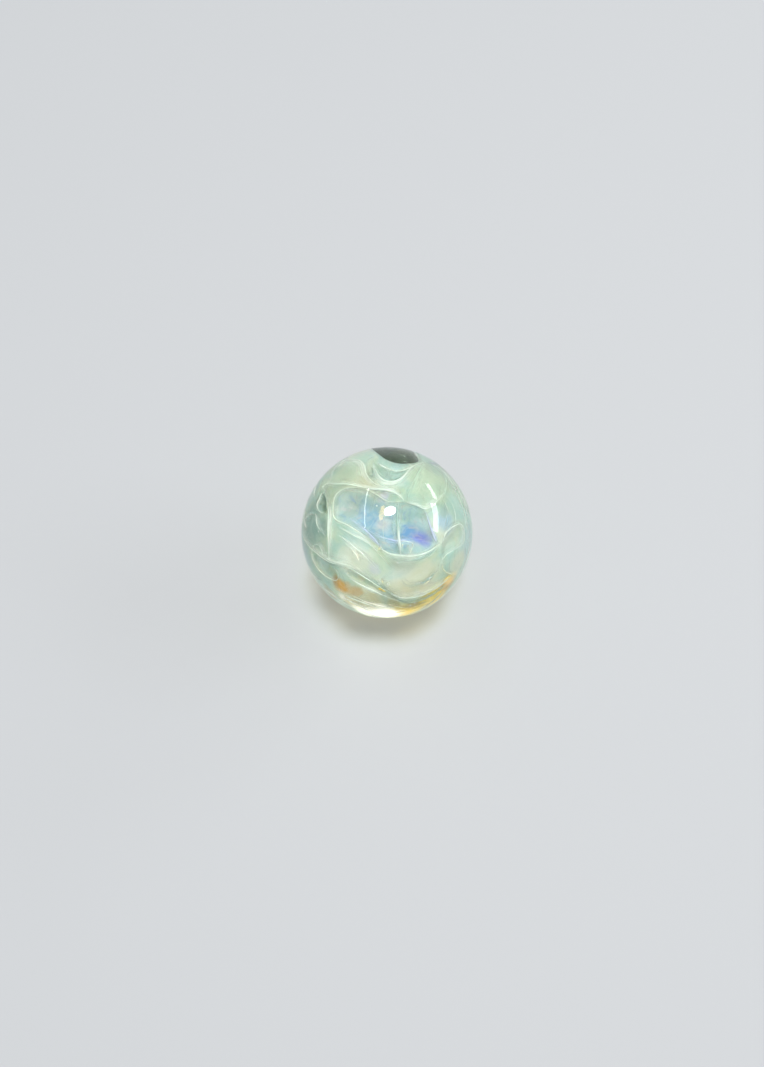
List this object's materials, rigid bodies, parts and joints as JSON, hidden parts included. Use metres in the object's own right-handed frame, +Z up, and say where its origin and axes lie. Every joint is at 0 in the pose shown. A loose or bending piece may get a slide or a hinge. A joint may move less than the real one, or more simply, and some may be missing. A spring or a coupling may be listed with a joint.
{
  "type": "glass marble",
  "caption": "Solid round glass ball with pale opal veils folded through clear glass, for rolling, playing or display.",
  "frame": {"origin": "centre of the ball", "axes": "+Z up as the ball lies at rest, -Y towards the side with the clear amber foot in view, +X to the right of it"},
  "size_m": [0.016, 0.016, 0.016],
  "materials": {
    "opal_glass": "fire-polished clear glass with milky sea-green opal veils, amber low down"
  },
  "bodies": {
    "root": {"marble": "opal_glass"}
  },
  "joints": []
}
